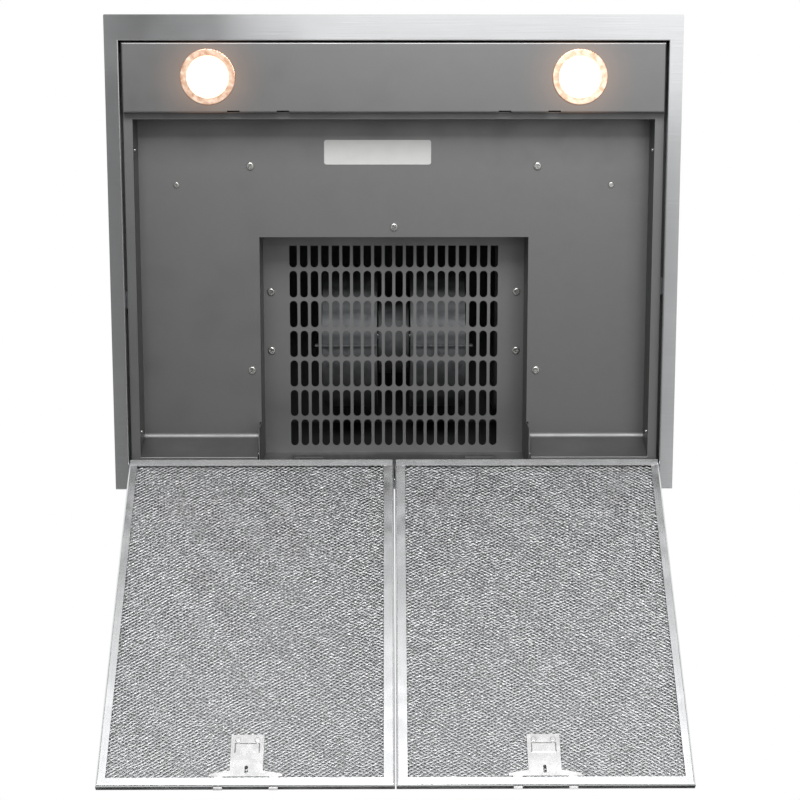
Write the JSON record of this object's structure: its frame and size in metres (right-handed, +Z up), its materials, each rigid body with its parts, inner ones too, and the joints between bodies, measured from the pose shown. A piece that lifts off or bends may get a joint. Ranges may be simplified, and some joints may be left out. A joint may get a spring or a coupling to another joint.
{
  "type": "wall mount range hood",
  "caption": "Wall mount range hood with hinged mesh grease filters that swing open below a pyramid canopy, a blower and a telescoping flue.",
  "frame": {"origin": "middle of the canopy's rear bottom edge, on the wall plane", "axes": "+Z up, -Y out of the wall towards the cook, +X to the right seen from the front"},
  "size_m": [0.598, 0.7337, 0.9428],
  "materials": {
    "canopy_steel": "brushed stainless steel sheet",
    "liner_steel": "satin steel sheet",
    "grille_steel": "satin steel plate with punched slots",
    "light_panel_steel": "satin steel panel",
    "zinc_steel": "galvanised steel sheet",
    "dark_steel": "dark powder coated steel sheet",
    "frame_aluminium": "rolled aluminium profile",
    "mesh_aluminium": "layers of expanded aluminium mesh",
    "bright_steel": "bright pressed steel",
    "spring_steel": "spring steel strip",
    "fastener_zinc": "zinc plated fasteners",
    "lamp_trim": "satin metal lamp ring",
    "lamp_glass": "frosted lamp glass",
    "label_foil": "blank metallised label",
    "black_plastic": "black moulded plastic",
    "grey_plastic": "grey moulded plastic",
    "button_plastic": "dark satin button caps",
    "board_green": "circuit board",
    "cable_rubber": "black cable sheath",
    "motor_steel": "motor core steel",
    "wheel_plastic": "fan wheel plastic"
  },
  "bodies": {
    "hood": {"canopy_shell": "canopy_steel", "flue_lower": "canopy_steel", "control_fascia": "canopy_steel", "inner_liner": "liner_steel", "liner_sides": "liner_steel", "blower_bay": "liner_steel", "blower_grille": "grille_steel", "light_panel": "light_panel_steel", "canopy_back": "zinc_steel", "hanging_rail": "zinc_steel", "blower_box": "dark_steel", "scroll_left": "zinc_steel", "scroll_right": "zinc_steel", "outlet_plenum": "zinc_steel", "hinge_plate": "liner_steel", "lamp_housings": "zinc_steel", "duct_collar": "grey_plastic", "flap_pins": "fastener_zinc", "sheet_screws": "fastener_zinc", "liner_rivets": "fastener_zinc", "rail_clips": "spring_steel", "rating_plate": "label_foil", "lamp_bezels": "lamp_trim", "lamp_glasses": "lamp_glass", "terminal_box": "black_plastic", "lamp_driver": "black_plastic", "control_housing": "black_plastic", "cable_gland": "black_plastic", "capacitor": "grey_plastic", "wiring": "cable_rubber", "control_board": "board_green", "motor_case": "zinc_steel", "motor_stator": "motor_steel"},
    "filter_left": {"filter_frame_left": "frame_aluminium", "filter_mesh_left": "mesh_aluminium", "filter_pins_left": "fastener_zinc", "latch_spring_left": "spring_steel"},
    "latch_left": {"latch_plate_left": "bright_steel", "latch_grip_left": "bright_steel", "latch_rivets_left": "bright_steel"},
    "filter_right": {"filter_frame_right": "frame_aluminium", "filter_mesh_right": "mesh_aluminium", "filter_pins_right": "fastener_zinc", "latch_spring_right": "spring_steel"},
    "latch_right": {"latch_plate_right": "bright_steel", "latch_grip_right": "bright_steel", "latch_rivets_right": "bright_steel"},
    "button_lamp": {"button_lamp": "button_plastic"},
    "button_off": {"button_off": "button_plastic"},
    "button_low": {"button_low": "button_plastic"},
    "button_medium": {"button_medium": "button_plastic"},
    "button_high": {"button_high": "button_plastic"},
    "rotor": {"fan_shaft": "fastener_zinc", "impeller_left": "wheel_plastic", "impeller_right": "wheel_plastic", "motor_rotor": "motor_steel"},
    "flap_front": {"flap_front": "grey_plastic"},
    "flap_rear": {"flap_rear": "grey_plastic"},
    "flue_top": {"flue_upper": "canopy_steel", "ceiling_bracket": "zinc_steel"}
  },
  "joints": [
    {"name": "filter_left_hinge", "type": "hinge", "parent": "hood", "child": "filter_left", "pos_m": [-0.14335, -0.024, 0.00375], "axis": [1, 0, 0], "range_deg": [-133.4, 0]},
    {"name": "latch_left_slide", "type": "slide", "parent": "filter_left", "child": "latch_left", "axis": [0, -0.6871, 0.7266], "range_m": [0, 0.005], "stiffness_N_per_m": 600, "springref_m": -0.004, "deforming": ["latch_spring_left"]},
    {"name": "filter_right_hinge", "type": "hinge", "parent": "hood", "child": "filter_right", "pos_m": [0.14335, -0.024, 0.00375], "axis": [1, 0, 0], "range_deg": [-133.4, 0]},
    {"name": "latch_right_slide", "type": "slide", "parent": "filter_right", "child": "latch_right", "axis": [0, -0.6871, 0.7266], "range_m": [0, 0.005], "stiffness_N_per_m": 600, "springref_m": -0.004, "deforming": ["latch_spring_right"]},
    {"name": "button_lamp_press", "type": "slide", "parent": "hood", "child": "button_lamp", "axis": [0, 1, 0], "range_m": [0, 0.0015], "stiffness_N_per_m": 400, "springref_m": -0.0015},
    {"name": "button_off_press", "type": "slide", "parent": "hood", "child": "button_off", "axis": [0, 1, 0], "range_m": [0, 0.0015], "stiffness_N_per_m": 400, "springref_m": -0.0015},
    {"name": "button_low_press", "type": "slide", "parent": "hood", "child": "button_low", "axis": [0, 1, 0], "range_m": [0, 0.0015], "stiffness_N_per_m": 400, "springref_m": -0.0015},
    {"name": "button_medium_press", "type": "slide", "parent": "hood", "child": "button_medium", "axis": [0, 1, 0], "range_m": [0, 0.0015], "stiffness_N_per_m": 400, "springref_m": -0.0015},
    {"name": "button_high_press", "type": "slide", "parent": "hood", "child": "button_high", "axis": [0, 1, 0], "range_m": [0, 0.0015], "stiffness_N_per_m": 400, "springref_m": -0.0015},
    {"name": "rotor_spin", "type": "hinge", "parent": "hood", "child": "rotor", "pos_m": [0, -0.139, 0.208], "axis": [1, 0, 0], "continuous": true},
    {"name": "flap_front_hinge", "type": "hinge", "parent": "hood", "child": "flap_front", "pos_m": [0, -0.116, 0.352], "axis": [-1, 0, 0], "range_deg": [0, 75]},
    {"name": "flap_rear_hinge", "type": "hinge", "parent": "hood", "child": "flap_rear", "pos_m": [0, -0.11, 0.352], "axis": [1, 0, 0], "range_deg": [0, 75]},
    {"name": "flue_slide", "type": "slide", "parent": "hood", "child": "flue_top", "axis": [0, 0, 1], "range_m": [0, 0.375]}
  ]
}
